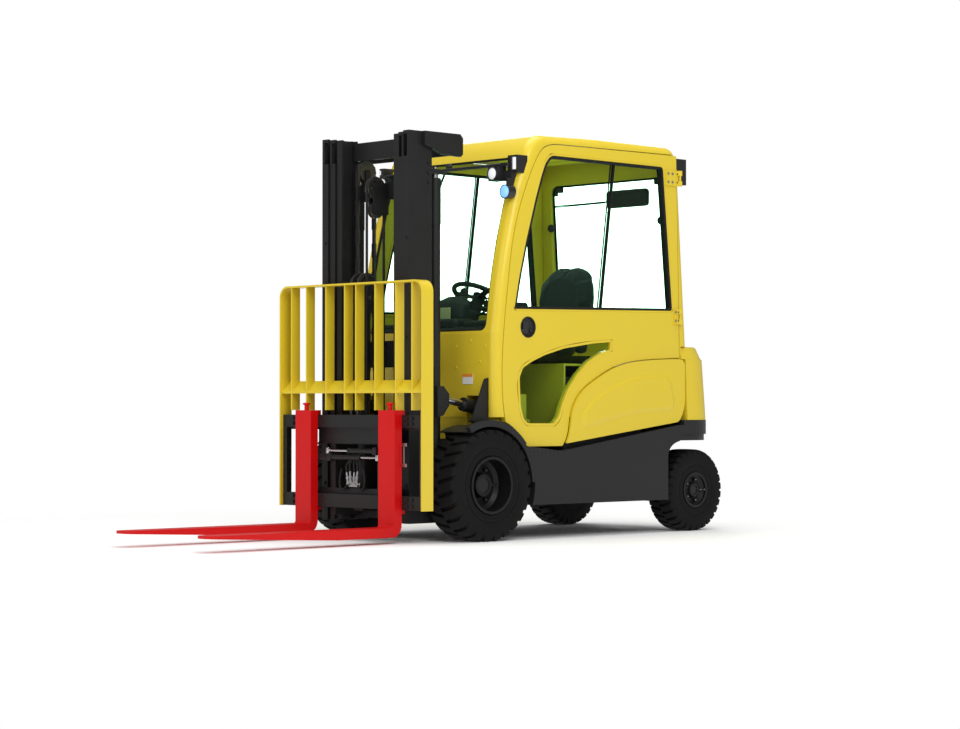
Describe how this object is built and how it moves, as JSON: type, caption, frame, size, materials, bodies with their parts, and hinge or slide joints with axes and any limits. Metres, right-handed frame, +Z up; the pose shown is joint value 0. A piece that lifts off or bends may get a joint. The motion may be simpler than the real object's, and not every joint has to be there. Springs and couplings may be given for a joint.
{
  "type": "forklift truck",
  "caption": "Electric counterbalance forklift with closed cab, three-stage mast, sideshifting fork carriage and load backrest.",
  "frame": {"origin": "middle of the overall length and width, on the floor", "axes": "+Y toward the counterweight, forks point along -Y, +X to the left of the truck as the driver sits, +Z up"},
  "size_m": [1.178, 3.5232, 2.14],
  "materials": {
    "body_yellow": "semi-gloss paint",
    "chassis_grey": "satin charcoal paint",
    "mast_grey": "satin charcoal paint",
    "fork_red": "satin red paint",
    "rim_dark": "satin dark grey paint",
    "tyre_black": "matte black rubber",
    "glass_clear": "clear glass",
    "trim_black": "matte black",
    "seat_fabric": "dark grey cloth",
    "steel_bright": "bright ground steel",
    "chain_steel": "oiled steel",
    "hose_rubber": "black rubber",
    "lamp_black": "black housings",
    "battery_box": "dark coated steel"
  },
  "bodies": {
    "chassis": {"frame": "chassis_grey", "drive_axle": "chassis_grey", "steer_axle": "chassis_grey", "battery": "battery_box", "counterweight_base": "chassis_grey", "counterweight": "body_yellow", "rear_cap": "body_yellow", "battery_panels": "body_yellow", "cab_frame": "body_yellow", "cab_glass": "glass_clear", "cab_deck": "chassis_grey", "seat_base": "trim_black", "seat_cushion": "seat_fabric", "seat_back": "seat_fabric", "dashboard": "trim_black", "fenders": "chassis_grey", "front_lamps": "lamp_black", "rear_lamps": "lamp_black"},
    "steering_wheel": {"steering_wheel": "trim_black"},
    "door_left": {"door_left": "body_yellow", "door_trim_left": "trim_black", "door_glass_left": "glass_clear"},
    "door_right": {"door_right": "body_yellow", "door_trim_right": "trim_black", "door_glass_right": "glass_clear"},
    "wheel_front_left": {"tyre_front_left": "tyre_black", "rim_front_left": "rim_dark"},
    "wheel_front_right": {"tyre_front_right": "tyre_black", "rim_front_right": "rim_dark"},
    "knuckle_left": {"knuckle_left": "chassis_grey"},
    "knuckle_right": {"knuckle_right": "chassis_grey"},
    "wheel_rear_left": {"tyre_rear_left": "tyre_black", "rim_rear_left": "rim_dark"},
    "wheel_rear_right": {"tyre_rear_right": "tyre_black", "rim_rear_right": "rim_dark"},
    "mast_outer": {"mast_outer": "mast_grey", "lift_cylinders": "mast_grey"},
    "tilt_barrels": {"tilt_barrels": "chassis_grey"},
    "tilt_rods": {"tilt_rods": "steel_bright"},
    "mast_middle": {"mast_middle": "mast_grey", "lift_rods": "steel_bright", "pulleys": "chain_steel", "main_chains": "chain_steel", "hoses": "hose_rubber"},
    "mast_inner": {"mast_inner": "mast_grey", "free_lift_cylinder": "mast_grey"},
    "crosshead": {"crosshead": "mast_grey", "carriage_chain": "chain_steel"},
    "carriage": {"carriage": "mast_grey"},
    "sideshift": {"sideshift_frame": "mast_grey", "backrest": "body_yellow"},
    "fork_left": {"fork_left": "fork_red"},
    "fork_right": {"fork_right": "fork_red"}
  },
  "joints": [
    {"name": "drive_wheel_left", "type": "hinge", "parent": "chassis", "child": "wheel_front_left", "pos_m": [0.4765, -0.0895, 0.289], "axis": [1, 0, 0], "continuous": true},
    {"name": "drive_wheel_right", "type": "hinge", "parent": "chassis", "child": "wheel_front_right", "pos_m": [-0.4765, -0.0895, 0.289], "axis": [1, 0, 0], "continuous": true},
    {"name": "steer_left", "type": "hinge", "parent": "chassis", "child": "knuckle_left", "pos_m": [0.365, 1.5215, 0.228], "axis": [0, 0, 1], "range_deg": [-70, 70]},
    {"name": "steer_right", "type": "hinge", "parent": "chassis", "child": "knuckle_right", "pos_m": [-0.365, 1.5215, 0.228], "axis": [0, 0, 1], "range_deg": [-70, 70]},
    {"name": "steered_wheel_left", "type": "hinge", "parent": "knuckle_left", "child": "wheel_rear_left", "pos_m": [0.481, 1.5215, 0.228], "axis": [1, 0, 0], "continuous": true},
    {"name": "steered_wheel_right", "type": "hinge", "parent": "knuckle_right", "child": "wheel_rear_right", "pos_m": [-0.481, 1.5215, 0.228], "axis": [1, 0, 0], "continuous": true},
    {"name": "steering_wheel_turn", "type": "hinge", "parent": "chassis", "child": "steering_wheel", "pos_m": [0, 0.3805, 1.29], "axis": [0, 0.4695, 0.8829], "range_deg": [-705, 705]},
    {"name": "door_left_hinge", "type": "hinge", "parent": "chassis", "child": "door_left", "pos_m": [0.558, 1.3995, 1.55], "axis": [0, 0, 1], "range_deg": [0, 85]},
    {"name": "door_right_hinge", "type": "hinge", "parent": "chassis", "child": "door_right", "pos_m": [-0.558, 1.3995, 1.55], "axis": [0, 0, -1], "range_deg": [0, 85]},
    {"name": "mast_tilt", "type": "hinge", "parent": "chassis", "child": "mast_outer", "pos_m": [0, -0.0895, 0.289], "axis": [1, 0, 0], "range_deg": [-5, 5]},
    {"name": "tilt_cylinder_turn", "type": "hinge", "parent": "chassis", "child": "tilt_barrels", "pos_m": [0, 0.2405, 0.64], "axis": [1, 0, 0], "range_deg": [-3, 3]},
    {"name": "tilt_rod_slide", "type": "slide", "parent": "tilt_barrels", "child": "tilt_rods", "axis": [0, -0.9821, 0.1885], "range_m": [-0.037, 0.037]},
    {"name": "mast_lift_middle", "type": "slide", "parent": "mast_outer", "child": "mast_middle", "axis": [0, 0, 1], "range_m": [0, 1.48], "deforming": ["main_chains", "hoses"]},
    {"name": "mast_lift_inner", "type": "slide", "parent": "mast_middle", "child": "mast_inner", "axis": [0, 0, 1], "range_m": [0, 1.48]},
    {"name": "carriage_lift", "type": "slide", "parent": "mast_inner", "child": "carriage", "axis": [0, 0, 1], "range_m": [0, 1.43]},
    {"name": "crosshead_lift", "type": "slide", "parent": "mast_inner", "child": "crosshead", "axis": [0, 0, 1], "range_m": [0, 0.715], "deforming": ["carriage_chain"]},
    {"name": "sideshift_slide", "type": "slide", "parent": "carriage", "child": "sideshift", "axis": [1, 0, 0], "range_m": [-0.1, 0.1]},
    {"name": "fork_left_slide", "type": "slide", "parent": "sideshift", "child": "fork_left", "axis": [1, 0, 0], "range_m": [-0.24, 0.12]},
    {"name": "fork_right_slide", "type": "slide", "parent": "sideshift", "child": "fork_right", "axis": [1, 0, 0], "range_m": [-0.12, 0.24]}
  ],
  "couplings": [
    {"joint": "steer_right", "follows": "steer_left", "ratio": 1},
    {"joint": "steering_wheel_turn", "follows": "steer_left", "ratio": -10},
    {"joint": "tilt_cylinder_turn", "follows": "mast_tilt", "ratio": 0.4882},
    {"joint": "tilt_rod_slide", "follows": "mast_tilt", "m_per_rad": 0.40678},
    {"joint": "mast_lift_inner", "follows": "mast_lift_middle", "ratio": 1},
    {"joint": "crosshead_lift", "follows": "carriage_lift", "ratio": 0.5}
  ]
}
